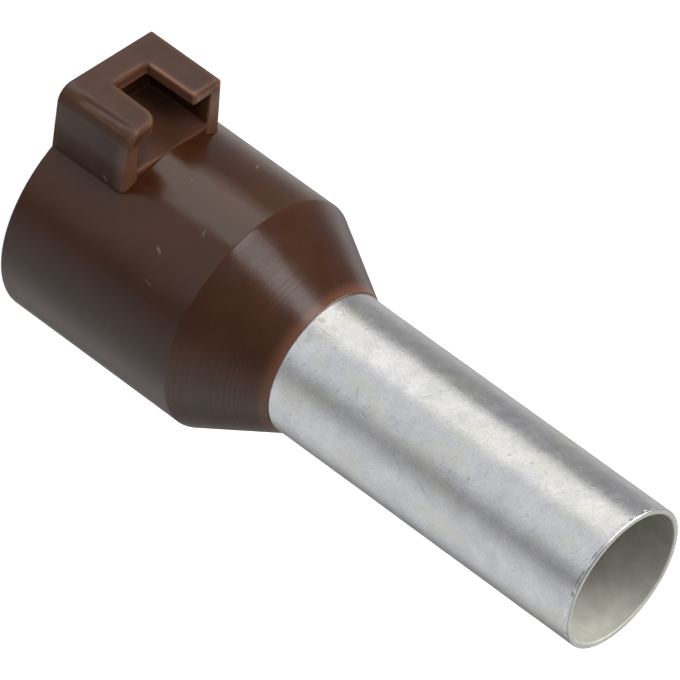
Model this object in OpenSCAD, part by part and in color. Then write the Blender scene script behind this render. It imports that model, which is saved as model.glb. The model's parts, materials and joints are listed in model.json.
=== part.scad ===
// Insulated wire ferrule with a clip-in marker holder on its collar.
// The barrel points up, the wire enters from below, and the holder faces -Y.
// The origin is the middle of the collar's rear face. All sizes are millimetres.

/* [Barrel] */
// Outside diameter of the metal barrel
barrel_d = 4.9; // [4.5:0.05:5.2]
// Wall of the metal barrel
barrel_wall = 0.2; // [0.15:0.01:0.3]
// Length of barrel in front of the collar's nose
barrel_len = 12.05; // [8:0.05:22]
// Rounding of the barrel's front rim, inside and outside
rim_round = 0.05; // [0.02:0.01:0.06]

/* [Collar] */
// Outside diameter of the insulating collar
collar_d = 8.06; // [7.7:0.02:9]
// Length of the collar's straight part, from its rear face to the shoulder
collar_len = 6.94; // [6:0.02:12]
// Wall of the collar, along its straight part and its cone
collar_wall = 0.38; // [0.3:0.01:0.5]
// Length of the cone between the shoulder and the nose
cone_len = 2.76; // [2:0.02:4]
// Thickness of the lip that the nose leaves round the barrel
nose_lip = 0.04; // [0.03:0.01:0.12]
// Lead-in chamfer of the wire entry
entry_chamfer = 0.1; // [0.05:0.01:0.15]
// Rounding of the collar's rear outer edge
rear_round = 0.08; // [0.03:0.01:0.1]
// Rounding of the shoulder between the straight part and the cone
shoulder_round = 0.15; // [0.05:0.01:0.3]

/* [Seat of the barrel in the collar] */
// Gap all round between the barrel and the plastic that holds it
seat_gap = 0.01; // [0.005:0.005:0.02]
// Gap between the rim of the barrel's flared mouth and the collar's bore
flare_gap = 0.3; // [0.15:0.01:0.4]
// Radius of the bend where the barrel's mouth starts to flare, on its outside
bend_r = 1.2; // [0.9:0.05:1.6]

/* [Marker holder] */
// Width of the slot that takes the foot of a marker
slot_w = 3.07; // [2.6:0.01:3.6]
// Height of the slot, from its floor to the flanges
slot_h = 1.23; // [0.8:0.01:1.6]
// Length of the slot, from its mouth to the back wall
slot_len = 2.47; // [2.3:0.01:4]
// Rise of the slot's floor over the crown of the collar
floor_rise = 0.02; // [0.02:0.01:0.3]
// Thickness of each side wall of the slot, at the top
side_wall = 0.49; // [0.35:0.01:0.7]
// Thickness of the wall behind the slot
back_wall = 0.48; // [0.35:0.01:0.8]
// Thickness of the narrower flange over the slot
flange_t = 0.34; // [0.3:0.01:0.6]
// How much higher the holder's top is on the side of the wider flange
top_rise = 0.12; // [0:0.01:0.2]
// Slope of the side walls, which spread towards the collar
side_draft = 2.3; // [0:0.1:4]

/* [Marker window] */
// Length of the window between the flanges, from the mouth
window_len = 1.95; // [1.2:0.01:2.3]
// Width of the window at its closed end
window_back_w = 1.4; // [0.9:0.01:1.7]
// Width of the window at the mouth
window_mouth_w = 1.48; // [1:0.01:2]
// Offset of the window from the middle of the slot
window_shift = 0.1; // [0:0.01:0.25]

/* [Roundings of the holder] */
// Radius of the soft long edge, on the side of the wider flange
soft_edge_r = 0.55; // [0.2:0.01:0.6]
// Radius of the other long edge
hard_edge_r = 0.12; // [0.04:0.01:0.4]
// Radius of the upright edges beside the mouth
mouth_edge_r = 0.12; // [0.05:0.01:0.3]
// Radius of the top edge over the mouth
lip_edge_r = 0.1; // [0.03:0.01:0.2]
// Radius at the tip of the wider flange
wide_tip_r = 0.55; // [0.05:0.01:0.6]
// Radius at the tip of the narrower flange
narrow_tip_r = 0.12; // [0.03:0.01:0.3]

/* [Hidden] */
$fn = 128;

// Extra length with which a cut passes through a face
over = 0.5;

barrel_r = barrel_d / 2;
barrel_bore_r = barrel_r - barrel_wall;
collar_r = collar_d / 2;
collar_bore_r = collar_r - collar_wall;

// The nose closes on the barrel, with the seat gap between them
seat_r = barrel_r + seat_gap;
nose_r = seat_r + nose_lip;
nose_z = collar_len + cone_len;
tip_z = nose_z + barrel_len;

// The cone loses this much radius for each millimetre of height
cone_slope = (collar_r - nose_r) / cone_len;
cone_angle = atan(cone_slope);
// Layers of the cone lie this much further apart across than square to the slope
across = sqrt(1 + pow(cone_slope, 2));

// Height at which a layer, so deep below the cone's outside, has radius r
function layer_z(depth, r) = collar_len + (collar_r - depth * across - r) / cone_slope;
// Radius of that layer at height z
function layer_r(depth, z) = collar_r - depth * across - cone_slope * (z - collar_len);

funnel_start_z = layer_z(collar_wall, collar_bore_r);

// The barrel's mouth is flared against the funnel inside the cone
flare_outside = collar_wall + seat_gap;
flare_inside = flare_outside + barrel_wall;
flare_rim_r = collar_bore_r - flare_gap;
flare_rim_z = layer_z(flare_outside, flare_rim_r);
// The rim is square to the flare, and its plane meets the axis at this height
rim_axis_z = flare_rim_z - cone_slope * flare_rim_r;

// The holder stands on the collar, and its slot runs along the wire
holder_w = slot_w + 2 * side_wall;
holder_len = back_wall + slot_len;
floor_h = collar_r + floor_rise;
flange_h = floor_h + slot_h;
// Height of the holder's long edges over the wire's axis
low_edge_h = flange_h + flange_t;
high_edge_h = low_edge_h + top_rise;
top_tilt = atan(top_rise / holder_w);
// Slope of the window's sides, which spread towards the mouth
window_taper = atan((window_mouth_w - window_back_w) / 2 / window_len);

// What a rounding of radius r takes off a corner at the origin. The material
// lies between the direction of +X and the one at the given angle to it.
module corner_waste(r, angle = 90) {
    reach = r / tan(angle / 2);
    difference() {
        polygon([
            [reach, r],
            [reach, -over],
            [-over / tan(angle / 2), -over],
            [reach * cos(angle) - over * sin(angle), reach * sin(angle) + over * cos(angle)]
        ]);
        translate([reach, r]) circle(r);
    }
}

// Collar without its bore, as a half section: radius across, height up
module collar_section() {
    difference() {
        polygon([[0, 0], [collar_r, 0], [collar_r, collar_len], [nose_r, nose_z], [0, nose_z]]);
        translate([collar_r, 0]) mirror([1, 0]) corner_waste(rear_round);
        translate([collar_r, collar_len]) rotate(90 + cone_angle)
            corner_waste(shoulder_round, 180 - cone_angle);
    }
}

// Bend at the height where a layer, so deep below the cone's outside, has radius r.
// It takes the corner off what lies outside the layer.
module bend_waste(r, depth, bend) {
    translate([r, layer_z(depth, r)]) rotate(cone_angle - 90)
        corner_waste(bend, 180 - cone_angle);
}

// Inside of such a layer: a funnel from the lower height, the bend, then straight
// with radius r to the upper height
module funnel_section(r, depth, bend, low_z, high_z) {
    polygon([[0, low_z], [layer_r(depth, low_z), low_z], [r, layer_z(depth, r)], [r, high_z], [0, high_z]]);
    bend_waste(r, depth, bend);
}

// Way of the wire through the collar: lead-in, bore, funnel and the barrel's seat
module wire_way_section() {
    polygon([
        [0, -over],
        [collar_bore_r + entry_chamfer + over, -over],
        [collar_bore_r, entry_chamfer],
        [collar_bore_r, funnel_start_z],
        [0, funnel_start_z]
    ]);
    funnel_section(seat_r, collar_wall, bend_r - seat_gap, funnel_start_z, nose_z + over);
}

// Barrel wall: straight tube, flared at its lower end along the funnel
module barrel_section() {
    difference() {
        union() {
            polygon([
                [0, tip_z],
                [barrel_r, tip_z],
                [barrel_r, layer_z(flare_outside, barrel_r)],
                [flare_rim_r, flare_rim_z],
                [0, rim_axis_z]
            ]);
            bend_waste(barrel_r, flare_outside, bend_r);
        }
        funnel_section(barrel_bore_r, flare_inside, bend_r + barrel_wall, rim_axis_z - over, tip_z + over);
        translate([barrel_bore_r, tip_z]) mirror([0, 1]) corner_waste(rim_round);
        translate([barrel_r, tip_z]) rotate(180) corner_waste(rim_round);
    }
}

// Holder seen along the wire, from the collar's axis to the top. The wire's way
// clears all of it that lies inside the collar.
module holder_end_view() {
    high_foot = holder_w / 2 + high_edge_h * tan(side_draft);
    low_foot = holder_w / 2 + low_edge_h * tan(side_draft);
    high_corner = [holder_w / 2, -high_edge_h];
    low_corner = [-holder_w / 2, -low_edge_h];
    difference() {
        polygon([[-low_foot, 0], low_corner, high_corner, [high_foot, 0]]);
        translate(high_corner) rotate(90 - side_draft)
            corner_waste(soft_edge_r, 90 + side_draft - top_tilt);
        translate(low_corner) rotate(-top_tilt)
            corner_waste(hard_edge_r, 90 + side_draft + top_tilt);
    }
}

// Waste along an upright edge beside the mouth, which leans with the side wall
module upright_edge_waste(top_h) {
    translate([holder_w / 2, -top_h, holder_len])
        rotate([0, 0, -side_draft]) translate([0, -over, 0])
            rotate([-90, 0, 0]) linear_extrude(top_h + over)
                mirror([1, 0]) corner_waste(mouth_edge_r);
}

// Waste along the top edge over the mouth, which leans with the top
module lip_edge_waste() {
    translate([-holder_w / 2, -low_edge_h, holder_len])
        rotate([0, 0, -top_tilt]) translate([-over, 0, 0])
            rotate([90, 0, 90]) linear_extrude(holder_w + 2 * over)
                mirror([0, 1]) corner_waste(lip_edge_r);
}

// Solid block of the holder, with its outer roundings
module holder_block() {
    difference() {
        linear_extrude(holder_len) holder_end_view();
        upright_edge_waste(high_edge_h);
        mirror([1, 0, 0]) upright_edge_waste(low_edge_h);
        lip_edge_waste();
    }
}

// Slot for the marker's foot, undercut below the flanges and open at the mouth
module marker_slot() {
    translate([-slot_w / 2, -flange_h, back_wall])
        cube([slot_w, slot_h, slot_len + over]);
}

// Window between the flanges, seen from above, with the flange tips rounded.
// It has its stated width at the mouth, and its sides run on past it.
module window_plan() {
    past_w = window_mouth_w + 2 * over * tan(window_taper);
    translate([-window_shift, holder_len]) {
        polygon([
            [-window_back_w / 2, -window_len],
            [window_back_w / 2, -window_len],
            [past_w / 2, over],
            [-past_w / 2, over]
        ]);
        translate([window_mouth_w / 2, 0])
            mirror([0, 1]) corner_waste(wide_tip_r, 90 + window_taper);
        translate([-window_mouth_w / 2, 0])
            rotate(180) corner_waste(narrow_tip_r, 90 + window_taper);
    }
}

// Window cut down through the flanges into the slot
module marker_window() {
    start_h = floor_h + slot_h / 2;
    translate([0, -start_h, 0])
        rotate([90, 0, 0]) linear_extrude(high_edge_h + over - start_h) window_plan();
}

// Insulating collar, moulded in one with its marker holder
module collar() {
    color("#46322e") difference() {
        union() {
            rotate_extrude() collar_section();
            holder_block();
        }
        rotate_extrude() wire_way_section();
        marker_slot();
        marker_window();
    }
}

// Tin-plated copper barrel that is crimped on the wire
module barrel() {
    color("#c9c6bd") rotate_extrude() barrel_section();
}

collar();
barrel();
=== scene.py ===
"""Wire ferrule: a metal barrel held in a brown plastic collar that carries a marker holder.

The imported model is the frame. A finely rounded mesh takes the place of each node, and both
get procedural materials. Meshes are built in millimetres and scaled to metres at the end.
"""

import json
import math

import bmesh
import bpy
from mathutils import Matrix, Vector, noise


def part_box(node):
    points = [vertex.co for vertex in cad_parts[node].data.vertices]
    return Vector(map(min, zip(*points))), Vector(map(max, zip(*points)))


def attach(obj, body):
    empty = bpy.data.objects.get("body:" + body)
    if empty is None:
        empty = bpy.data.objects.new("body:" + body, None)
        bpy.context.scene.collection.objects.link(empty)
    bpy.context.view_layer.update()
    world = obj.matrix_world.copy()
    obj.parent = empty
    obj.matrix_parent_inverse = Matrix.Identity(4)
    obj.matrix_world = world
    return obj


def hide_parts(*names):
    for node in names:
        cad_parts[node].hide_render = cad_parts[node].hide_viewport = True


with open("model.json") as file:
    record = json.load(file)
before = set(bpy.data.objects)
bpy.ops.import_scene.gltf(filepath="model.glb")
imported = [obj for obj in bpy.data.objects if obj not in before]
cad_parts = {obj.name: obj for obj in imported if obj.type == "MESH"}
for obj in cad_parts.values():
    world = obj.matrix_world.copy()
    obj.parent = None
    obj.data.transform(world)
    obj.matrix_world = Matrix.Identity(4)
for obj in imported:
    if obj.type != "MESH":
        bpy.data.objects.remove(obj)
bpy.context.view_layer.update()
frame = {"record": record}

MM = 0.001


# Sizes that the frame gives, in millimetres

def mount_radius(name):
    """Radius of one of the record's round mounts."""
    mount = next(m for m in frame["record"]["mounts"] if m["name"] == name)
    return mount["dims"]["r_mm"]


collar_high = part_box("collar")[1] / MM
barrel_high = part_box("barrel")[1] / MM

COLLAR_R = collar_high.x
BORE_R = mount_radius("wire_entry")
BARREL_R = mount_radius("barrel_outside")
BARREL_BORE_R = mount_radius("conductor_bore")
NOSE_Z = collar_high.z
TIP_Z = barrel_high.z
FLARE_RIM_R = barrel_high.x

# Collar
SHOULDER_Z = 6.94
SEAT_GAP = 0.005
NOSE_LIP = 0.045
ENTRY_CHAMFER = 0.1
ENTRY_REAR_ROUND = 0.02
ENTRY_FRONT_ROUND = 0.05
REAR_ROUND = 0.08
SHOULDER_ROUND = 0.15
NOSE_ROUND = 0.02
SEAT_ROUND = 0.005
BEND_R = 1.2
FUNNEL_ROUND = 0.3
COLLAR_SIDES = 288
COLLAR_SHARP_ANGLE = math.radians(24)

# The cone's radius falls by CONE_SLOPE for each millimetre of height, and its wall measures
# ACROSS times as much along the radius as straight through.
NOSE_R = BARREL_R + SEAT_GAP + NOSE_LIP
CONE_SLOPE = (COLLAR_R - NOSE_R) / (NOSE_Z - SHOULDER_Z)
ACROSS = math.sqrt(1 + CONE_SLOPE ** 2)

# Marker holder. Heights are from the collar's axis towards -Y.
SLOT_HALF_W = 1.535
SLOT_FLOOR_H = 4.05
FLANGE_H = 5.28
SLOT_BACK_Z = 0.48
SLOT_CORNER_R = 0.07
SLOT_MOUTH_R = 0.07
MOUTH_Z = 2.95
# The mouth's face runs this much further at the wide flange, and as much less at the other
MOUTH_SLANT = 0.02
HOLDER_HALF_W = 2.025
LOW_EDGE_H = 5.62
HIGH_EDGE_H = 5.739
SIDE_DRAFT = math.radians(2.3)
SOFT_EDGE_R = 0.55
HARD_EDGE_R = 0.12
NEAR_MOUTH_EDGE_R = 0.14
FAR_MOUTH_EDGE_R = 0.1
LIP_EDGE_R = 0.1
REAR_EDGE_R = 0.05
# No edge along the holder is rounded less than this
LEAST_EDGE_R = 0.03
HOLDER_STEP = 0.12
HOLDER_ROUND_STEPS = 10
SOFT_EDGE_STEPS = 56
SLOT_CORNER_STEPS = 4
# The foot lies on an arc of this many steps, and its ends are found in this many rounds
FOOT_STEPS = 24
FOOT_ROUNDS = 8

# Window between the two flanges
WINDOW_BACK_Z = 0.97
WINDOW_BACK_HALF_W = 0.7
WINDOW_MOUTH_HALF_W = 0.745
WINDOW_BACK_MIDDLE = -0.1
WINDOW_MOUTH_MIDDLE = -0.085
WINDOW_BACK_R = 0.1
WIDE_TIP_R = 0.58
NARROW_TIP_R = 0.14
WINDOW_EDGE_R = 0.09
WINDOW_EDGE_STEPS = 6
WINDOW_CORNER_STEPS = 8

# Ridge along the soft edge and the groove beside it: distance from the middle at the rear
# end and at the mouth, reach to each side, height
RIDGE = (1.93, 1.93, 0.09, 0.024)
GROOVE = (1.76, 1.65, 0.16, -0.035)
RIDGE_START_Z = 0.55
RIDGE_END_Z = 2.75
RIDGE_FADE = 0.35

# How far a cutter runs past the face that it passes through
OVER = 0.4
# A cutter clears a face that it would otherwise lie in by this much
CLEAR = 0.002
# Points closer together than this become one
MERGE_DISTANCE = 0.0005

# Barrel
BARREL_SIDES = 256
BARREL_SHARP_ANGLE = math.radians(40)
RING_STEP = 0.12
FINE_RING_STEP = 0.025
FINE_RINGS_FROM_TIP = 0.2
RIM_ROUND = 0.05
FLARE_EDGE_ROUND = 0.04
WALL_MIDDLE_R = (BARREL_R + BARREL_BORE_R) / 2
# Depth of the tube's shallow dents, which fade out over this length in front of the nose
DENT_DEPTH = 0.02
DENT_FADE = 0.8
# Broad and small dents: how many to a millimetre, and their share of the depth
DENTS = ((0.5, 0.75), (2.1, 0.25))
# Burr line beside the rim: its depth, its place and its reach. Noise of this density breaks
# it up, and more of the line stays the more is added to the noise.
BURR_DEPTH = 0.05
BURR_FROM_TIP = 0.08
BURR_REACH = 0.05
BURR_DENSITY = 4.3
BURR_ADDED = 0.1


# Outlines and solids

def arc_points(centre, radius, start, end, steps):
    """Points on an arc between two angles, both ends included."""
    angles = (start + (end - start) * step / steps for step in range(steps + 1))
    return [(centre[0] + radius * math.cos(a), centre[1] + radius * math.sin(a)) for a in angles]


def rounded(corners, steps=6):
    """A closed outline from (x, y, radius) corners, each corner rounded to its radius."""
    outline = []
    for index, (x, y, radius) in enumerate(corners):
        here = Vector((x, y))
        before = (Vector(corners[index - 1][:2]) - here).normalized()
        after = (Vector(corners[(index + 1) % len(corners)][:2]) - here).normalized()
        if radius <= 0:
            outline.append((x, y))
            continue
        half = before.angle(after) / 2
        centre = here + (before + after).normalized() * (radius / math.sin(half))
        start = here + before * (radius / math.tan(half)) - centre
        turn = start.angle_signed(here + after * (radius / math.tan(half)) - centre)
        first = math.atan2(start.y, start.x)
        outline += arc_points(centre, radius, first, first - turn, steps)
    return outline


def subdivided(outline, longest_at):
    """The closed outline with no side longer than the length for its height."""
    dense = []
    for start, end in zip(outline, outline[1:] + outline[:1]):
        start, end = Vector(start), Vector(end)
        parts = max(1, math.ceil((end - start).length / longest_at(max(start.y, end.y))))
        dense += [tuple(start.lerp(end, part / parts)) for part in range(parts)]
    return dense


def new_object(name, bm):
    """A mesh object from a bmesh, which is then freed."""
    bmesh.ops.recalc_face_normals(bm, faces=bm.faces)
    mesh = bpy.data.meshes.new(name)
    bm.to_mesh(mesh)
    bm.free()
    made = bpy.data.objects.new(name, mesh)
    bpy.context.scene.collection.objects.link(made)
    return made


def bridged(rings, name, ring_ends):
    """A solid from rings of equal length. Its ends are joined to each other or capped."""
    bm = bmesh.new()
    verts = [[bm.verts.new(point) for point in ring] for ring in rings]
    pairs = list(zip(verts, verts[1:]))
    if ring_ends == "joined":
        pairs.append((verts[-1], verts[0]))
    for low, high in pairs:
        for i in range(len(low)):
            bm.faces.new((low[i - 1], low[i], high[i], high[i - 1]))
    if ring_ends == "capped":
        bm.faces.new(verts[0])
        bm.faces.new(verts[-1])
    return new_object(name, bm)


def revolved(name, outline, sides):
    """A ring-shaped solid from a closed outline of (radius, height) points."""
    rings = []
    for side in range(sides):
        angle = 2 * math.pi * side / sides
        rings.append([(r * math.cos(angle), r * math.sin(angle), z) for r, z in outline])
    return bridged(rings, name, "joined")


def fillet_inset(distance, radius):
    """How far a rounding of this radius takes a face back, at a distance from its edge."""
    depth = max(0.0, radius - distance)
    return radius - math.sqrt(radius ** 2 - min(depth, radius) ** 2)


def levels(start, end, start_round, end_round, steps=7):
    """Levels from start to end, close together where the two ends are rounded."""
    turns = [math.pi / 2 * step / steps for step in range(steps + 1)]
    low = [start + start_round * (1 - math.cos(t)) for t in turns]
    high = [end - end_round * (1 - math.cos(t)) for t in reversed(turns)]
    return low + high


def eased(share):
    """A share from 0 to 1 with a soft start and end."""
    share = min(max(share, 0.0), 1.0)
    return share * share * (3 - 2 * share)


def apply_modifiers(target):
    """Puts the result of the object's modifiers into its mesh."""
    depsgraph = bpy.context.evaluated_depsgraph_get()
    made = bpy.data.meshes.new_from_object(target.evaluated_get(depsgraph))
    target.modifiers.clear()
    target.data = made


def combine(target, other, operation):
    """Applies one boolean to the target, and deletes the other solid."""
    modifier = target.modifiers.new(operation.lower(), "BOOLEAN")
    modifier.operation = operation
    modifier.solver = "EXACT"
    modifier.object = other
    apply_modifiers(target)
    bpy.data.objects.remove(other)


def finish_mesh(target, sharp_angle):
    """Merges doubled points, scales to metres and smooths all but the sharp edges."""
    bm = bmesh.new()
    bm.from_mesh(target.data)
    bmesh.ops.remove_doubles(bm, verts=bm.verts, dist=MERGE_DISTANCE)
    bmesh.ops.dissolve_degenerate(bm, edges=bm.edges, dist=MERGE_DISTANCE)
    bmesh.ops.recalc_face_normals(bm, faces=bm.faces)
    bmesh.ops.transform(bm, matrix=Matrix.Scale(MM, 4), verts=bm.verts)
    bm.to_mesh(target.data)
    bm.free()
    target.data.shade_smooth()
    target.data.set_sharp_from_angle(angle=sharp_angle)
    weighted = target.modifiers.new("weighted_normals", "WEIGHTED_NORMAL")
    weighted.keep_sharp = True
    apply_modifiers(target)


def layer_z(depth, radius):
    """Height at which the layer at a depth below the cone's outside has a radius."""
    return SHOULDER_Z + (COLLAR_R - depth * ACROSS - radius) / CONE_SLOPE


# Collar

def collar_outline():
    """The collar's wall as a half section: straight part, cone, seat and funnel."""
    wall = COLLAR_R - BORE_R
    seat_r = BARREL_R + SEAT_GAP
    return rounded([
        (BORE_R + ENTRY_CHAMFER, 0, ENTRY_REAR_ROUND),
        (COLLAR_R, 0, REAR_ROUND),
        (COLLAR_R, SHOULDER_Z, SHOULDER_ROUND),
        (NOSE_R, NOSE_Z, NOSE_ROUND),
        (seat_r, NOSE_Z, SEAT_ROUND),
        (seat_r, layer_z(wall, seat_r), BEND_R - SEAT_GAP),
        (BORE_R, layer_z(wall, BORE_R), FUNNEL_ROUND),
        (BORE_R, ENTRY_CHAMFER, ENTRY_FRONT_ROUND),
    ])


def top_height(x):
    """Height of the holder's top, which slopes across the holder."""
    share = (x + HOLDER_HALF_W) / (2 * HOLDER_HALF_W)
    return LOW_EDGE_H + (HIGH_EDGE_H - LOW_EDGE_H) * share


def slanted(x, z):
    """The height of a point of the holder, moved along with the slant of the mouth."""
    return z + MOUTH_SLANT * (x / HOLDER_HALF_W) * min(z / MOUTH_Z, 1.0)


def relief(x, z):
    """How far the ridge and the groove move the soft edge outwards."""
    along = (z - RIDGE_START_Z) / (RIDGE_END_Z - RIDGE_START_Z)
    fade = eased((z - RIDGE_START_Z) / RIDGE_FADE) * eased((RIDGE_END_Z - z) / RIDGE_FADE)
    total = 0.0
    for rear_x, mouth_x, reach, height in (RIDGE, GROOVE):
        middle = rear_x + (mouth_x - rear_x) * along
        total += height * eased(1 - abs(x - middle) / reach)
    return total * fade


def with_relief(outline, z):
    """The holder's outline at a height, with the ridge and the groove on its soft edge."""
    middle = Vector((HOLDER_HALF_W - SOFT_EDGE_R, HIGH_EDGE_H - SOFT_EDGE_R))
    moved = []
    for point in outline:
        outwards = Vector(point) - middle
        if min(outwards) > 0:
            outwards.length += relief(point[0], z)
        moved.append(tuple(middle + outwards))
    return moved


def holder_section(near_inset, far_inset, top_inset):
    """The holder seen along the wire, from the middle of the collar's wall to its top."""
    wall_r = (COLLAR_R + BORE_R) / 2

    def foot(side, inset):
        """Where a side wall, with its draft, meets the middle of the collar's wall. Each
        round brings the point closer to both."""
        edge_h = top_height(side * HOLDER_HALF_W)
        height = wall_r
        for _ in range(FOOT_ROUNDS):
            x = HOLDER_HALF_W - inset + (edge_h - height) * math.tan(SIDE_DRAFT)
            height = math.sqrt(wall_r ** 2 - x ** 2)
        return side * x, height

    corners = []
    for side, radius, inset in ((1, SOFT_EDGE_R, near_inset), (-1, HARD_EDGE_R, far_inset)):
        x = side * (HOLDER_HALF_W - inset)
        corners.append((x, top_height(x) - top_inset, max(radius - inset, LEAST_EDGE_R)))
    right, left = foot(1, near_inset), foot(-1, far_inset)
    outline = rounded([(*right, 0), corners[0], corners[1], (*left, 0)], steps=SOFT_EDGE_STEPS)
    start, end = (math.atan2(height, x) for x, height in (left, right))
    return outline + arc_points((0, 0), wall_r, start, end, FOOT_STEPS)[1:-1]


def holder_block():
    """The holder before its slot and window are cut."""
    rings = []
    heights = levels(CLEAR, MOUTH_Z, REAR_EDGE_R, NEAR_MOUTH_EDGE_R, steps=HOLDER_ROUND_STEPS)
    plain = range(1, math.ceil((MOUTH_Z - 2 * NEAR_MOUTH_EDGE_R) / HOLDER_STEP))
    heights += [NEAR_MOUTH_EDGE_R + step * HOLDER_STEP for step in plain]
    for z in sorted(heights):
        rear_inset = fillet_inset(z - CLEAR, REAR_EDGE_R)
        insets = [
            rear_inset + fillet_inset(MOUTH_Z - z, radius)
            for radius in (NEAR_MOUTH_EDGE_R, FAR_MOUTH_EDGE_R, LIP_EDGE_R)
        ]
        outline = with_relief(holder_section(*insets), z)
        rings.append([(x, -height, slanted(x, z)) for x, height in outline])
    return bridged(rings, "holder_block", "capped")


def slot_cutter():
    """The slot for a marker's foot, with rounded inner corners and a flared mouth."""
    rings = []
    for z in levels(SLOT_BACK_Z, MOUTH_Z, SLOT_CORNER_R, SLOT_MOUTH_R) + [MOUTH_Z + OVER]:
        grow = fillet_inset(MOUTH_Z - z, SLOT_MOUTH_R)
        grow -= fillet_inset(z - SLOT_BACK_Z, SLOT_CORNER_R)
        floor_h = SLOT_FLOOR_H - min(grow, 0)
        half_w = SLOT_HALF_W + grow
        roof_h = FLANGE_H + grow
        section = rounded([
            (half_w, floor_h, SLOT_CORNER_R),
            (half_w, roof_h, SLOT_CORNER_R),
            (-half_w, roof_h, SLOT_CORNER_R),
            (-half_w, floor_h, SLOT_CORNER_R),
        ], steps=SLOT_CORNER_STEPS)
        rings.append([(x, -height, slanted(x, z)) for x, height in section])
    return bridged(rings, "slot_cutter", "capped")


def window_section(grow):
    """The window between the flanges seen from above, as (x, z) points, grown at its sides."""
    mouth = MOUTH_Z + CLEAR
    far = HOLDER_HALF_W + OVER
    return rounded([
        (WINDOW_BACK_MIDDLE - WINDOW_BACK_HALF_W - grow, WINDOW_BACK_Z - grow, WINDOW_BACK_R),
        (WINDOW_BACK_MIDDLE + WINDOW_BACK_HALF_W + grow, WINDOW_BACK_Z - grow, WINDOW_BACK_R),
        (WINDOW_MOUTH_MIDDLE + WINDOW_MOUTH_HALF_W + grow, mouth, WIDE_TIP_R),
        (far, mouth, 0),
        (far, mouth + OVER, 0),
        (-far, mouth + OVER, 0),
        (-far, mouth, 0),
        (WINDOW_MOUTH_MIDDLE - WINDOW_MOUTH_HALF_W - grow, mouth, NARROW_TIP_R),
    ], steps=WINDOW_CORNER_STEPS)


def window_cutter():
    """The window through the flanges. Its levels follow the sloping top, where it flares."""
    rings = []
    start = (SLOT_FLOOR_H + FLANGE_H) / 2 - HIGH_EDGE_H
    turns = (math.pi / 2 * step / WINDOW_EDGE_STEPS for step in range(WINDOW_EDGE_STEPS + 1))
    for depth in [start] + [WINDOW_EDGE_R * (math.sin(turn) - 1) for turn in turns] + [OVER]:
        section = window_section(fillet_inset(-depth, WINDOW_EDGE_R))
        rings.append([(x, -top_height(x) - depth, slanted(x, z)) for x, z in section])
    return bridged(rings, "window_cutter", "capped")


def make_collar():
    """The collar moulded in one with its marker holder."""
    collar = revolved("collar_moulding", collar_outline(), COLLAR_SIDES)
    combine(collar, holder_block(), "UNION")
    combine(collar, slot_cutter(), "DIFFERENCE")
    combine(collar, window_cutter(), "DIFFERENCE")
    finish_mesh(collar, COLLAR_SHARP_ANGLE)
    return collar


# Barrel

def barrel_outline():
    """The barrel's wall as a half section: flared mouth, straight tube and rounded rim."""
    wall = BARREL_R - BARREL_BORE_R
    outside = COLLAR_R - BORE_R + SEAT_GAP
    rim_z = layer_z(outside, FLARE_RIM_R)
    fine_z = TIP_Z - FINE_RINGS_FROM_TIP
    return rounded([
        (BARREL_R, TIP_Z, RIM_ROUND),
        (BARREL_BORE_R, TIP_Z, RIM_ROUND),
        (BARREL_BORE_R, fine_z, 0),
        (BARREL_BORE_R, layer_z(outside + wall, BARREL_BORE_R), BEND_R + wall),
        (FLARE_RIM_R - wall / ACROSS, rim_z - wall * CONE_SLOPE / ACROSS, FLARE_EDGE_ROUND),
        (FLARE_RIM_R, rim_z, FLARE_EDGE_ROUND),
        (BARREL_R, layer_z(outside, BARREL_R), BEND_R),
        (BARREL_R, fine_z, 0),
    ])


def ring_step(height):
    """Longest side of the barrel's outline at a height: short beside the rim."""
    return FINE_RING_STEP if height > TIP_Z - FINE_RINGS_FROM_TIP else RING_STEP


def dent(place):
    """How far the wall lies inwards at a place, from shallow dents and the burr at the rim."""
    uneven = sum(share * (0.5 + 0.5 * noise.noise(place * density)) for density, share in DENTS)
    depth = DENT_DEPTH * uneven * eased((place.z - NOSE_Z) / DENT_FADE)
    beside = abs(TIP_Z - BURR_FROM_TIP - place.z) / BURR_REACH
    if place.xy.length > WALL_MIDDLE_R and beside < 1:
        unbroken = max(0.0, noise.noise(place * BURR_DENSITY) + BURR_ADDED)
        depth += BURR_DEPTH * unbroken * (1 - beside ** 2)
    return depth


def make_barrel():
    """The metal barrel, slightly uneven as drawn and cut tube is."""
    barrel = revolved("barrel_tube", subdivided(barrel_outline(), ring_step), BARREL_SIDES)
    for vertex in barrel.data.vertices:
        place = vertex.co.copy()
        share = 1 - dent(place) / place.xy.length
        vertex.co = (place.x * share, place.y * share, place.z)
    finish_mesh(barrel, BARREL_SHARP_ANGLE)
    return barrel


# Materials

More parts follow.
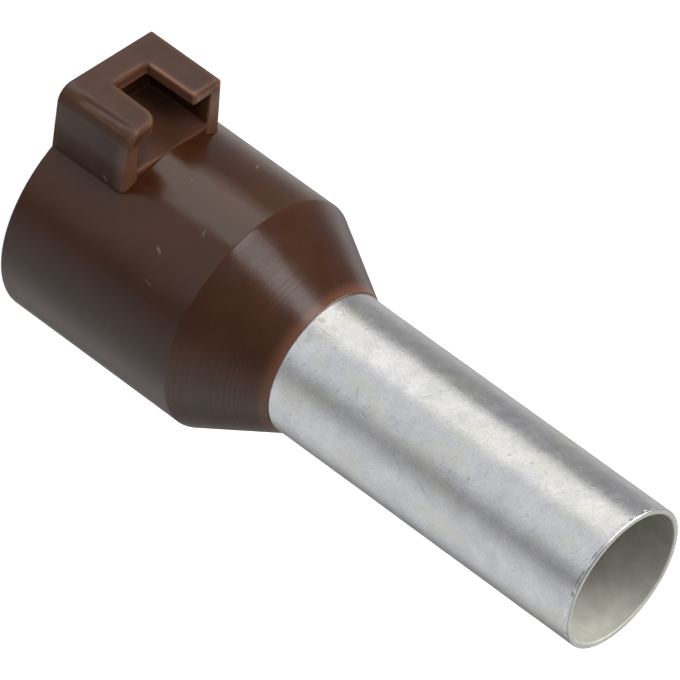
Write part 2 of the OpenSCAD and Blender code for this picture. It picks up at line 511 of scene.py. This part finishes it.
class Graph:
    """Adds nodes to a shader tree and links what they take."""

    OCCLUSION_SAMPLES = 8
    BUMP_DISTANCE = 0.02 * MM
    # How much of a mark's spot is its soft border
    MARK_BORDER = 0.6

    def __init__(self, tree):
        self.tree = tree
        tree.nodes.clear()

    def add(self, kind, inputs=None, **settings):
        """A new node. Inputs are sockets to link, or values to set."""
        made = self.tree.nodes.new(kind)
        for name, value in settings.items():
            setattr(made, name, value)
        for name, value in (inputs or {}).items():
            if isinstance(value, bpy.types.NodeSocket):
                self.tree.links.new(value, made.inputs[name])
            else:
                made.inputs[name].default_value = value
        return made

    def math(self, operation, first, second=0.0):
        """The result of one operation on one or two values."""
        return self.add("ShaderNodeMath", {0: first, 1: second}, operation=operation).outputs[0]

    def vector_math(self, operation, inputs, output=0):
        """The result of one operation on vectors."""
        return self.add("ShaderNodeVectorMath", inputs, operation=operation).outputs[output]

    def joined(self, operation, shares):
        """All the shares, joined by the same operation."""
        total, *others = shares
        for share in others:
            total = self.math(operation, total, share)
        return total

    def mix(self, share, first, second):
        """A number between two others."""
        return self.add("ShaderNodeMix", {0: share, 2: first, 3: second}).outputs[0]

    def scaled(self, vector, scale):
        """The vector times a scale along each axis."""
        inputs = {"Vector": vector, "Scale": scale}
        return self.add("ShaderNodeMapping", inputs).outputs["Vector"]

    def noise(self, vector, scale, detail, roughness=0.5):
        """Noise from 0 to 1. Detail adds finer layers, and roughness makes them stronger."""
        inputs = {"Vector": vector, "Scale": scale, "Detail": detail, "Roughness": roughness}
        return self.add("ShaderNodeTexNoise", inputs).outputs["Fac"]

    def between(self, value, low, high, to_low=0.0, to_high=1.0):
        """The value, eased from one range to another."""
        inputs = {"Value": value, "From Min": low, "From Max": high,
                  "To Min": to_low, "To Max": to_high}
        made = self.add("ShaderNodeMapRange", inputs, interpolation_type="SMOOTHSTEP")
        return made.outputs["Result"]

    def split(self, place):
        """A place's coordinates."""
        outputs = self.add("ShaderNodeSeparateXYZ", {"Vector": place}).outputs
        return {axis: outputs[axis] for axis in "XYZ"}

    def region(self, axes, ramps):
        """The share of a region bounded by ramps: axis, where it starts and where it is full."""
        return self.joined("MULTIPLY", [self.between(axes[axis], *ramp) for axis, *ramp in ramps])

    def open_share(self, distance, inside=False):
        """How open a surface is up to a distance, over it or through the wall under it."""
        made = self.add("ShaderNodeAmbientOcclusion", {"Distance": distance * MM}, inside=inside,
                        only_local=True, samples=self.OCCLUSION_SAMPLES)
        return made.outputs["AO"]

    def blend(self, share, first, second):
        """A colour between two others."""
        made = self.add("ShaderNodeMix", data_type="RGBA")
        for index, value in ((0, share), (6, first), (7, second)):
            if isinstance(value, bpy.types.NodeSocket):
                self.tree.links.new(value, made.inputs[index])
            else:
                made.inputs[index].default_value = value
        return made.outputs[2]

    def layered(self, colour, layers):
        """The colour with others laid over it one by one, each by its share."""
        for share, over in layers:
            colour = self.blend(share, colour, over)
        return colour

    def unrolled(self, place, radius):
        """A place on a round wall as distance round it, height and nothing."""
        axes = self.split(place)
        turn = self.math("ARCTAN2", axes["Y"], axes["X"])
        inputs = {"X": self.math("MULTIPLY", turn, radius), "Y": axes["Z"]}
        return self.add("ShaderNodeCombineXYZ", inputs).outputs["Vector"]

    def marks(self, flat, radius, marks):
        """Where small marks lie on an unrolled wall. Each has its direction from the axis and
        its height, its length and width, and its turn from the wall's round direction."""
        shares = []
        for direction, height, length, width, turn in marks:
            inputs = {
                "Vector": flat,
                "Location": (math.radians(direction) * radius, height, 0.0),
                "Rotation": (0.0, 0.0, math.radians(turn)),
                "Scale": (length / 2, width / 2, 1.0),
            }
            near = self.add("ShaderNodeMapping", inputs, vector_type="TEXTURE").outputs["Vector"]
            spot = self.add("ShaderNodeTexGradient", {"Vector": near}, gradient_type="SPHERICAL")
            shares.append(self.between(spot.outputs["Fac"], 0.0, self.MARK_BORDER))
        return self.joined("MAXIMUM", shares)

    def finish(self, height, bump_strength, inputs):
        """The surface, with a bump from the height."""
        bump = self.add("ShaderNodeBump", {
            "Height": height,
            "Strength": bump_strength,
            "Distance": self.BUMP_DISTANCE,
        })
        inputs = {**inputs, "Normal": bump.outputs["Normal"]}
        shader = self.add("ShaderNodeBsdfPrincipled", inputs)
        self.add("ShaderNodeOutputMaterial", {"Surface": shader.outputs["BSDF"]})


def new_material(name):
    """A material and the graph of its nodes."""
    material = bpy.data.materials.new(name)
    material.use_nodes = True
    return material, Graph(material.node_tree)


def millimetres(graph):
    """Position on the object, in millimetres."""
    place = graph.add("ShaderNodeTexCoord").outputs["Object"]
    return graph.scaled(place, (1 / MM, 1 / MM, 1 / MM))


# Plastic

BODY_DARK = (0.043, 0.0135, 0.0048, 1)
BODY_LIGHT = (0.057, 0.018, 0.0062, 1)
# Painted glow: a warmer, lighter colour that stands in for light coming through thin plastic
PAINTED_GLOW_COLOUR = (0.2, 0.092, 0.05, 1)
# Painted light on the window's side wall at the narrow flange, which lies in shade
WINDOW_SIDE_PAINTED_LIGHT = (0.19, 0.085, 0.052, 1)
# Painted light on the slot floor, lighter than the body
SLOT_FLOOR_PAINTED_LIGHT = (0.09, 0.04, 0.025, 1)
# Painted glow along the cone's nose, where the thin plastic meets the barrel
NOSE_PAINTED_GLOW = (0.155, 0.064, 0.036, 1)
SCUFF_COLOUR = (0.16, 0.115, 0.095, 1)

# Regions of the collar, as Graph.region takes them
AT_HOLDER = (("Y", -3.0, -3.4), ("Z", 0.05, 0.35))
HOLDER_SURFACE = (("Y", -3.44, -3.5), ("Z", 2.985, 2.97))
HOLDER_FOOT = (("Y", -4.7, -3.95),)
MOUTH_WALLS = (("Z", 2.45, 2.8), ("Z", 2.99, 2.975), ("Y", -5.4, -5.0), ("Y", -3.5, -3.6),
               ("side", 1.5, 1.54))
SOFT_EDGE = (("Y", -5.1, -5.4), ("X", 1.74, 1.9))
WINDOW_SIDE = (("X", -0.94, -0.87), ("X", -0.5, -0.6), ("Y", -5.2, -5.3), ("Z", 1.0, 1.15))
SLOT_FLOOR = (("Y", -4.12, -4.08), ("Y", -4.04, -4.045), ("Z", 0.4, 0.6), ("side", 1.6, 1.54))
SLOT_FLOOR_FRONT = (("X", -1.3, 0.1), ("Z", 0.9, 2.1))
CONE = (("Z", SHOULDER_Z, SHOULDER_Z + 0.3),)
NOSE_END = (("Z", NOSE_Z - 0.42, NOSE_Z + 0.08),)

# How strong the painted glow is on two of the regions, as a share of that on the thinnest edges
MOUTH_WALLS_GLOW = 0.5
SOFT_EDGE_GLOW = 0.13

# Roughness that the scuffs, the holder and the turned cone add, and the share of the
# holder's that its thin edges lose
SCUFF_ROUGHNESS = 0.25
HOLDER_ROUGHNESS = 0.22
CONE_ROUGHNESS = 0.06
EDGE_POLISH = 0.8

# Specular level where nothing lowers it, the least share of it in a corner and on a dimmed
# part, and how much the soft edge is dimmed. Lowering it paints shade into the reflections.
GLOSS = 0.42
CORNER_GLOSS = 0.35
DIMMED_GLOSS = 0.55
SOFT_EDGE_DIMMING = 0.3
# Height of the fine grain, as a share of the broad one
GRAIN_HEIGHT = 0.3

# Marks on the collar, in degrees and millimetres, as Graph.marks takes them
COLLAR_SCUFFS = (
    (-114, 4.96, 0.5, 0.1, 35),
    (-49, 5.04, 0.35, 0.12, 60),
    (-35, 5.31, 0.4, 0.08, 80),
    (-66, 5.87, 0.3, 0.07, 20),
    (-60, 2.23, 0.3, 0.1, 75),
    (-82, 4.2, 0.3, 0.06, -40),
    (20, 3.4, 0.5, 0.08, 30),
    (75, 5.6, 0.6, 0.08, 70),
    (140, 2.1, 0.5, 0.1, -30),
)


def plastic_colour(graph, place, axes, thin, soft_edge, scuffs):
    """Dark brown, with a painted glow, warmer and lighter, where light comes through thin walls and
    edges and at the nose, painted light on a window side and the slot floor, and scuffs.
    """
    clouds = graph.noise(place, scale=0.55, detail=5)
    body = graph.blend(graph.between(clouds, 0.3, 0.7), BODY_DARK, BODY_LIGHT)
    # Painted glow on the thin edges, the mouth walls and the soft edge
    painted_glow = graph.joined("MAXIMUM", (
        thin,
        graph.math("MULTIPLY", graph.region(axes, MOUTH_WALLS), MOUTH_WALLS_GLOW),
        graph.math("MULTIPLY", soft_edge, SOFT_EDGE_GLOW),
    ))
    # Painted light on the slot floor, except over one patch of it
    behind_front = graph.math("SUBTRACT", 1.0, graph.region(axes, SLOT_FLOOR_FRONT))
    painted_floor_light = graph.math("MULTIPLY", graph.region(axes, SLOT_FLOOR), behind_front)
    return graph.layered(body, (
        (painted_glow, PAINTED_GLOW_COLOUR),
        (graph.region(axes, WINDOW_SIDE), WINDOW_SIDE_PAINTED_LIGHT),
        (painted_floor_light, SLOT_FLOOR_PAINTED_LIGHT),
        (graph.region(axes, NOSE_END), NOSE_PAINTED_GLOW),
        (scuffs, SCUFF_COLOUR),
    ))


def plastic_roughness(graph, place, thin, holder, cone, scuffs):
    """Smooth, but less so on the holder, on the cone and in the scuffs."""
    uneven = graph.noise(place, scale=1.6, detail=4)
    total = graph.between(uneven, 0.3, 0.7, to_low=0.16, to_high=0.24)
    unpolished = graph.math("SUBTRACT", 1.0, graph.math("MULTIPLY", thin, EDGE_POLISH))
    satin = graph.math("MULTIPLY", holder, unpolished)
    for share, more in ((scuffs, SCUFF_ROUGHNESS), (satin, HOLDER_ROUGHNESS), (cone, CONE_ROUGHNESS)):
        total = graph.math("ADD", total, graph.math("MULTIPLY", share, more))
    return total


def plastic_gloss(graph, place, axes, holder, soft_edge, cone):
    """Less gloss in corners and low on the holder's sides, which paints shade into their
    reflections, less on its soft edge to dim its highlight, and fine turned rings in the gloss of the
    cone."""
    rings = graph.noise(graph.scaled(place, (0.0, 0.0, 14.0)), scale=1.0, detail=2)
    ring_gloss = graph.between(rings, 0.3, 0.7, to_low=0.33, to_high=0.5)
    gloss = graph.mix(cone, GLOSS, ring_gloss)
    # Painted shade: less gloss where the surface is closed in, so corners reflect less
    painted_corner_shade = graph.between(graph.open_share(0.8), 0.4, 0.95, to_low=CORNER_GLOSS)
    sides = graph.between(axes["side"], 1.6, 1.9, to_low=0.7)
    # Painted shade: less gloss on the holder's sides low down, darker towards the foot, and a dimmed
    # highlight on the soft edge
    painted_foot_shade = graph.joined("MULTIPLY", (holder, graph.region(axes, HOLDER_FOOT), sides))
    dimmed = graph.math("MAXIMUM", painted_foot_shade, graph.math("MULTIPLY", soft_edge, SOFT_EDGE_DIMMING))
    dimmed_share = graph.between(dimmed, 0.0, 1.0, to_low=1.0, to_high=DIMMED_GLOSS)
    return graph.joined("MULTIPLY", (gloss, painted_corner_shade, dimmed_share))


def plastic_material():
    """Dark brown moulded plastic, glossy, with a painted glow where it is thin at its edges."""
    material, graph = new_material("collar_plastic")
    place = millimetres(graph)
    axes = graph.split(place)
    axes["side"] = graph.math("ABSOLUTE", axes["X"])
    holder = graph.region(axes, HOLDER_SURFACE)
    soft_edge = graph.region(axes, SOFT_EDGE)
    cone = graph.region(axes, CONE)
    thin_wall = graph.between(graph.open_share(0.3, inside=True), 0.98, 0.35)
    thin = graph.math("MULTIPLY", graph.region(axes, AT_HOLDER), thin_wall)
    marks = graph.marks(graph.unrolled(place, COLLAR_R), COLLAR_R, COLLAR_SCUFFS)
    broken = graph.between(graph.noise(place, scale=4.5, detail=3), 0.36, 0.55)
    scuffs = graph.math("MULTIPLY", marks, broken)
    grain = graph.math("MULTIPLY", graph.noise(place, scale=16.0, detail=3), GRAIN_HEIGHT)
    height = graph.math("ADD", graph.noise(place, scale=3.2, detail=2), grain)
    graph.finish(height, bump_strength=0.14, inputs={
        "Base Color": plastic_colour(graph, place, axes, thin, soft_edge, scuffs),
        "Roughness": plastic_roughness(graph, place, thin, holder, cone, scuffs),
        "IOR": 1.46,
        "Specular IOR Level": plastic_gloss(graph, place, axes, holder, soft_edge, cone),
    })
    return material


# Metal

TIN_DARK = (0.56, 0.562, 0.575, 1)
TIN_LIGHT = (0.66, 0.66, 0.665, 1)
MOTTLE_COLOUR = (0.44, 0.44, 0.45, 1)
TARNISH_COLOUR = (0.6, 0.605, 0.53, 1)
FLECK_COLOUR = (0.4, 0.4, 0.41, 1)
PIT_COLOUR = (0.2, 0.2, 0.19, 1)
BORE_DARK = (0.36, 0.365, 0.325, 1)
BORE_LIGHT = (0.44, 0.445, 0.4, 1)
STAIN_COLOUR = (0.46, 0.45, 0.38, 1)
SCRATCH_COLOUR = (0.3, 0.3, 0.31, 1)

# Two sets of hairlines: their turn from the wall's round direction, and where their noise starts
HAIRLINES = ((25, 3.0), (118, 9.0))
# How strong the hairlines are beside the scratches, and how much pits and scratches colour
HAIRLINE_STRENGTH = 0.7
PIT_STRENGTH = 0.4
SCRATCH_STRENGTH = 0.3
# Height of the draw lines and depth of the scratches, as shares of the grain's height
DRAW_LINE_HEIGHT = 0.35
SCRATCH_DEPTH = 0.8
# How rough the inside of the tube is
BORE_ROUGHNESS = 0.55

# Marks on the barrel, in degrees and millimetres, as Graph.marks takes them
BARREL_SCRATCHES = (
    (-69, 10.45, 1.3, 0.05, 88),
    (-48, 12.35, 0.5, 0.05, 35),
    (-38, 12.9, 0.35, 0.09, 80),
    (-75, 14.2, 0.4, 0.05, -30),
    (-20, 15.7, 0.6, 0.06, 60),
    (-55, 17.3, 0.4, 0.05, 20),
    (-100, 18.4, 0.7, 0.05, 75),
    (-10, 19.6, 0.4, 0.07, -50),
    (60, 13.5, 0.7, 0.06, 50),
    (110, 17.0, 0.9, 0.05, 80),
    (160, 12.2, 0.5, 0.07, -20),
)
BARREL_STAINS = (
    (-73, 10.05, 1.2, 0.35, 62),
    (-62, 9.95, 0.7, 0.3, 25),
    (-82, 10.4, 0.6, 0.25, 80),
    (150, 10.1, 0.9, 0.35, 10),
)


def pits(graph, place):
    """Where small pits lie, one in some of the cells that fill the metal."""
    uneven = graph.add("ShaderNodeTexNoise", {"Vector": place, "Scale": 5.0}).outputs["Color"]
    shift = graph.vector_math("SCALE", {0: uneven, "Scale": 0.12})
    moved = graph.vector_math("ADD", {0: shift, 1: place})
    cells = graph.add("ShaderNodeTexVoronoi", {"Vector": moved, "Scale": 1.5}).outputs
    number = graph.add("ShaderNodeSeparateColor", {"Color": cells["Color"]}).outputs[0]
    chosen = graph.between(number, 0.55, 0.6)
    return graph.math("MULTIPLY", chosen, graph.between(cells["Distance"], 0.1, 0.04))


def hairlines(graph, flat):
    """Where fine lines cross the wall in two directions."""
    shares = []
    for turn, offset in HAIRLINES:
        inputs = {
            "Vector": flat,
            "Location": (offset, 0.0, 0.0),
            "Rotation": (0.0, 0.0, math.radians(turn)),
        }
        turned_flat = graph.add("ShaderNodeMapping", inputs).outputs["Vector"]
        drawn_out = graph.scaled(turned_flat, (1.8, 22.0, 1.0))
        streaks = graph.noise(drawn_out, scale=1.0, detail=2, roughness=0.4)
        shares.append(graph.between(streaks, 0.66, 0.74))
    return graph.joined("MAXIMUM", shares)


def metal_colour(graph, place, flat, inside, outside, scratches):
    """Mottled, a little tarnished tin outside, and dull olive-grey inside the tube."""
    clouds = graph.noise(place, scale=1.4, detail=6, roughness=0.6)
    mottle = graph.noise(place, scale=7.0, detail=4, roughness=0.65)
    drawn_out = graph.scaled(place, (1.0, 1.0, 0.45))
    tarnish = graph.noise(drawn_out, scale=0.9, detail=4)
    flecks = graph.noise(place, scale=17.0, detail=2, roughness=0.7)
    tin = graph.blend(graph.between(clouds, 0.3, 0.7), TIN_DARK, TIN_LIGHT)
    bore = graph.blend(graph.between(clouds, 0.35, 0.65), BORE_DARK, BORE_LIGHT)
    outer = graph.layered(tin, (
        (graph.between(mottle, 0.5, 0.8, to_high=0.35), MOTTLE_COLOUR),
        (graph.between(tarnish, 0.46, 0.66, to_high=0.6), TARNISH_COLOUR),
        (graph.between(flecks, 0.52, 0.72, to_high=0.55), FLECK_COLOUR),
        (graph.math("MULTIPLY", pits(graph, place), PIT_STRENGTH), PIT_COLOUR),
    ))
    broken = graph.between(graph.noise(place, scale=3.5, detail=5), 0.4, 0.65)
    stains = graph.joined("MULTIPLY", (graph.marks(flat, BARREL_R, BARREL_STAINS), broken, outside))
    return graph.layered(graph.blend(inside, outer, bore), (
        (stains, STAIN_COLOUR),
        (graph.math("MULTIPLY", scratches, SCRATCH_STRENGTH), SCRATCH_COLOUR),
    ))


def metal_material():
    """Tin-plated copper: satin outside, dull and olive-grey inside the tube."""
    material, graph = new_material("barrel_metal")
    place = millimetres(graph)
    flat = graph.unrolled(place, BARREL_R)
    axes = graph.split(place)
    across = graph.add("ShaderNodeCombineXYZ", {"X": axes["X"], "Y": axes["Y"]}).outputs["Vector"]
    from_axis = graph.vector_math("LENGTH", {0: across}, output="Value")
    inside = graph.between(from_axis, WALL_MIDDLE_R, BARREL_BORE_R + 0.01)
    outside = graph.math("SUBTRACT", 1.0, inside)
    scratches = graph.joined("MAXIMUM", (
        graph.math("MULTIPLY", graph.marks(flat, BARREL_R, BARREL_SCRATCHES), outside),
        graph.joined("MULTIPLY", (hairlines(graph, flat), outside, HAIRLINE_STRENGTH)),
    ))
    uneven = graph.noise(place, scale=2.6, detail=5)
    satin = graph.between(uneven, 0.3, 0.7, to_low=0.2, to_high=0.3)
    drawn = graph.noise(graph.scaled(flat, (22.0, 1.6, 1.0)), scale=1.0, detail=3)
    grain = graph.noise(place, scale=13.0, detail=5, roughness=0.65)
    height = graph.math("ADD", grain, graph.math("MULTIPLY", drawn, DRAW_LINE_HEIGHT))
    height = graph.math("SUBTRACT", height, graph.math("MULTIPLY", scratches, SCRATCH_DEPTH))
    graph.finish(height, bump_strength=0.27, inputs={
        "Base Color": metal_colour(graph, place, flat, inside, outside, scratches),
        "Metallic": graph.between(inside, 0.0, 1.0, to_low=1.0, to_high=0.2),
        "Roughness": graph.mix(inside, satin, BORE_ROUGHNESS),
    })
    return material


# Camera. The view's own axes also place the lights, which the photograph's light came along.

VIEW_AZIMUTH = math.radians(38.646)
VIEW_ELEVATION = math.radians(26.233)
VIEW_TURN = math.radians(125.855)
AIM = Vector((-0.6453, -0.5160, 9.6795)) * MM
DISTANCE = 239.65 * MM
NEAREST = 10 * MM
FARTHEST = 5.0
SENSOR_WIDTH = 36.0
# Side and focal length of the picture, in pixels
IMAGE_SIDE = 680
FOCAL_PIXELS = 8000

VIEW_BACK = Vector((
    math.sin(VIEW_AZIMUTH) * math.cos(VIEW_ELEVATION),
    -math.cos(VIEW_AZIMUTH) * math.cos(VIEW_ELEVATION),
    math.sin(VIEW_ELEVATION),
))
LEVEL_RIGHT = Vector((0, 0, 1)).cross(VIEW_BACK).normalized()
VIEW_RIGHT = Matrix.Rotation(VIEW_TURN, 3, VIEW_BACK) @ LEVEL_RIGHT
VIEW_UP = VIEW_BACK.cross(VIEW_RIGHT)


def turned(right, up, back):
    """A rotation whose axes are the three directions."""
    return Matrix((right, up, back)).transposed().to_quaternion()


def make_camera():
    """A long lens, at the angle from which the photograph was taken."""
    data = bpy.data.cameras.new("camera")
    data.sensor_width = SENSOR_WIDTH
    data.lens = SENSOR_WIDTH * FOCAL_PIXELS / IMAGE_SIDE
    data.clip_start = NEAREST
    data.clip_end = FARTHEST
    camera = bpy.data.objects.new("camera", data)
    camera.rotation_mode = "QUATERNION"
    camera.rotation_quaternion = turned(VIEW_RIGHT, VIEW_UP, VIEW_BACK)
    camera.location = AIM + VIEW_BACK * DISTANCE
    bpy.context.scene.collection.objects.link(camera)
    bpy.context.scene.camera = camera


# Studio, in metres

# The soft boxes stand this far from the object
BOX_DISTANCE = 0.3
FLOOR_HALF_SIDE = 1.5
FLOOR_OWN_LIGHT = 0.82
FLOOR_COLOUR = (0.8, 0.8, 0.8, 1)
WHITE = (1, 1, 1, 1)
BLACK = (0, 0, 0, 1)

# Soft parts of the surroundings: direction along the view's axes, reach in degrees, how
# bright, colour. The surfaces mirror the first table, and the second lights them softly.
MIRRORED = (
    ((-0.6, 0.5, 0.62), 42, 0.66, (0.97, 0.98, 1.03)),
    ((-0.83, -0.49, -0.27), 54, 0.58, (0.98, 0.99, 1.03)),
    ((0.26, 0.7, -0.6), 55, 0.14, (0.98, 0.99, 1.03)),
    ((-0.3, -0.9, 0.1), 42, 0.58, (1.0, 0.98, 0.96)),
    ((-0.08, -0.5, -0.86), 26, -0.14, (1.0, 1.0, 1.0)),
    ((0.55, 0.33, -0.77), 18, 0.5, (0.98, 0.98, 1.03)),
    ((0.12, 0.42, -0.9), 24, 0.24, (1.0, 1.0, 0.98)),
    ((0.64, -0.46, -0.61), 42, 0.5, (1.0, 0.98, 0.95)),
)
MIRRORED_AMBIENT = 0.27
SOFT_LIGHT = (
    ((0.7, -0.2, 0.65), 60, 1.2, (1.0, 0.98, 0.96)),
    ((-0.6, -0.7, -0.3), 50, 0.6, (1.0, 0.99, 1.0)),
    ((0.4, 0.85, 0.3), 50, 0.7, (1.0, 0.99, 0.97)),
)
SOFT_AMBIENT = 0.11


def from_view(right, up, back):
    """A direction given along the photograph's own axes, in the part's frame."""
    return (VIEW_RIGHT * right + VIEW_UP * up + VIEW_BACK * back).normalized()


def surroundings(graph, direction, ambient, parts):
    """The colour of the surroundings in a direction."""
    total = graph.add("ShaderNodeCombineColor", {0: ambient, 1: ambient, 2: ambient}).outputs[0]
    for axes, reach, strength, colour in parts:
        inputs = {0: direction, 1: from_view(*axes)}
        facing = graph.vector_math("DOT_PRODUCT", inputs, output="Value")
        share = graph.between(facing, math.cos(math.radians(reach)), 1.0)
        tint = tuple(strength * channel for channel in colour) + (1.0,)
        lobe = graph.blend(share, BLACK, tint)
        total = graph.vector_math("ADD", {0: total, 1: lobe})
    return total


def make_world():
    """Pale surroundings, brighter in a few broad directions, and white behind the object."""
    world = bpy.data.worlds.new("studio")
    world.use_nodes = True
    graph = Graph(world.node_tree)
    direction = graph.add("ShaderNodeTexCoord").outputs["Generated"]
    rays = graph.add("ShaderNodeLightPath").outputs
    mirrored = surroundings(graph, direction, MIRRORED_AMBIENT, MIRRORED)
    soft = surroundings(graph, direction, SOFT_AMBIENT, SOFT_LIGHT)
    light = graph.blend(rays["Is Diffuse Ray"], mirrored, soft)
    shown = graph.blend(rays["Is Camera Ray"], light, WHITE)
    background = graph.add("ShaderNodeBackground", {"Color": shown})
    graph.add("ShaderNodeOutputWorld", {"Surface": background.outputs[0]})
    bpy.context.scene.world = world


def make_floor():
    """A plain white floor under the collar, evenly lit, that takes a faint shadow."""
    bm = bmesh.new()
    bmesh.ops.create_grid(bm, x_segments=1, y_segments=1, size=FLOOR_HALF_SIDE)
    floor = new_object("floor", bm)
    material, graph = new_material("floor_white")
    own_light = graph.add("ShaderNodeEmission", {"Color": WHITE, "Strength": FLOOR_OWN_LIGHT})
    diffuse = graph.add("ShaderNodeBsdfDiffuse", {"Color": FLOOR_COLOUR})
    both = graph.add("ShaderNodeAddShader", {0: own_light.outputs[0], 1: diffuse.outputs[0]})
    graph.add("ShaderNodeOutputMaterial", {"Surface": both.outputs[0]})
    floor.data.materials.append(material)
    floor.visible_glossy = False
    floor.visible_diffuse = False
    floor.visible_transmission = False
    floor.visible_shadow = False


def soft_box(name, pieces, towards, along, width, length, radiance, colour, shift=(0, 0)):
    """A rectangular light on some of the pieces. Along is the direction of its length, and
    shift moves it that way and square to it."""
    side = along - towards * along.dot(towards)
    side.normalize()
    rise = towards.cross(side)
    data = bpy.data.lights.new(name, "AREA")
    data.shape = "RECTANGLE"
    data.size = length
    data.size_y = width
    data.color = colour
    data.energy = radiance * math.pi * width * length
    light = bpy.data.objects.new(name, data)
    light.rotation_mode = "QUATERNION"
    light.rotation_quaternion = turned(side, rise, towards)
    light.location = AIM + towards * BOX_DISTANCE + side * shift[0] + rise * shift[1]
    light.visible_camera = False
    bpy.context.scene.collection.objects.link(light)
    lit = bpy.data.collections.new(name + "_lights")
    for piece in pieces:
        lit.objects.link(piece)
    light.light_linking.receiver_collection = lit


def make_top_lights(piece, box_radiance, strip_radiance):
    """A soft box over a piece, and a narrow one beside it along its far side."""
    shared = {
        "pieces": [piece],
        "towards": from_view(-0.08, 0.97, 0.19),
        "along": from_view(0.75, -0.07, 0.65),
        "length": 0.3,
        "colour": (1.0, 0.985, 0.95),
    }
    soft_box(f"top_box_{piece.name}", width=0.204, shift=(-0.03, -0.018),
             radiance=box_radiance, **shared)
    soft_box(f"top_strip_{piece.name}", width=0.042, shift=(-0.03, 0.105),
             radiance=strip_radiance, **shared)


def make_studio(collar, barrel):
    """Floor, surroundings, soft boxes over the object, one in front and one for the bore.

    The satin metal takes less of the top box than the plastic does, as in a soft exposure."""
    make_world()
    make_floor()
    make_top_lights(barrel, box_radiance=1.05, strip_radiance=0.95)
    make_top_lights(collar, box_radiance=2.1, strip_radiance=0.85)
    soft_box("front_box", [collar, barrel], towards=from_view(0.49, 0.43, 0.755),
             along=from_view(0.7, -0.7, 0), width=0.13, length=0.21, radiance=4.8,
             colour=(1.0, 0.97, 0.97))
    soft_box("bore_box", [barrel], towards=from_view(0.85, 0.45, 0.25),
             along=from_view(0, 0.5, -0.9), width=0.2, length=0.2, radiance=7.5,
             colour=(1.0, 1.0, 0.97))


def dress(piece, node, material):
    """Puts a finished piece in the place of a node of the frame."""
    piece.data.materials.clear()
    piece.data.materials.append(material)
    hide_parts(node)
    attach(piece, "root")


make_camera()
collar_moulding = make_collar()
barrel_tube = make_barrel()
dress(collar_moulding, "collar", plastic_material())
dress(barrel_tube, "barrel", metal_material())
make_studio(collar_moulding, barrel_tube)
bpy.context.scene.view_settings.view_transform = "Standard"
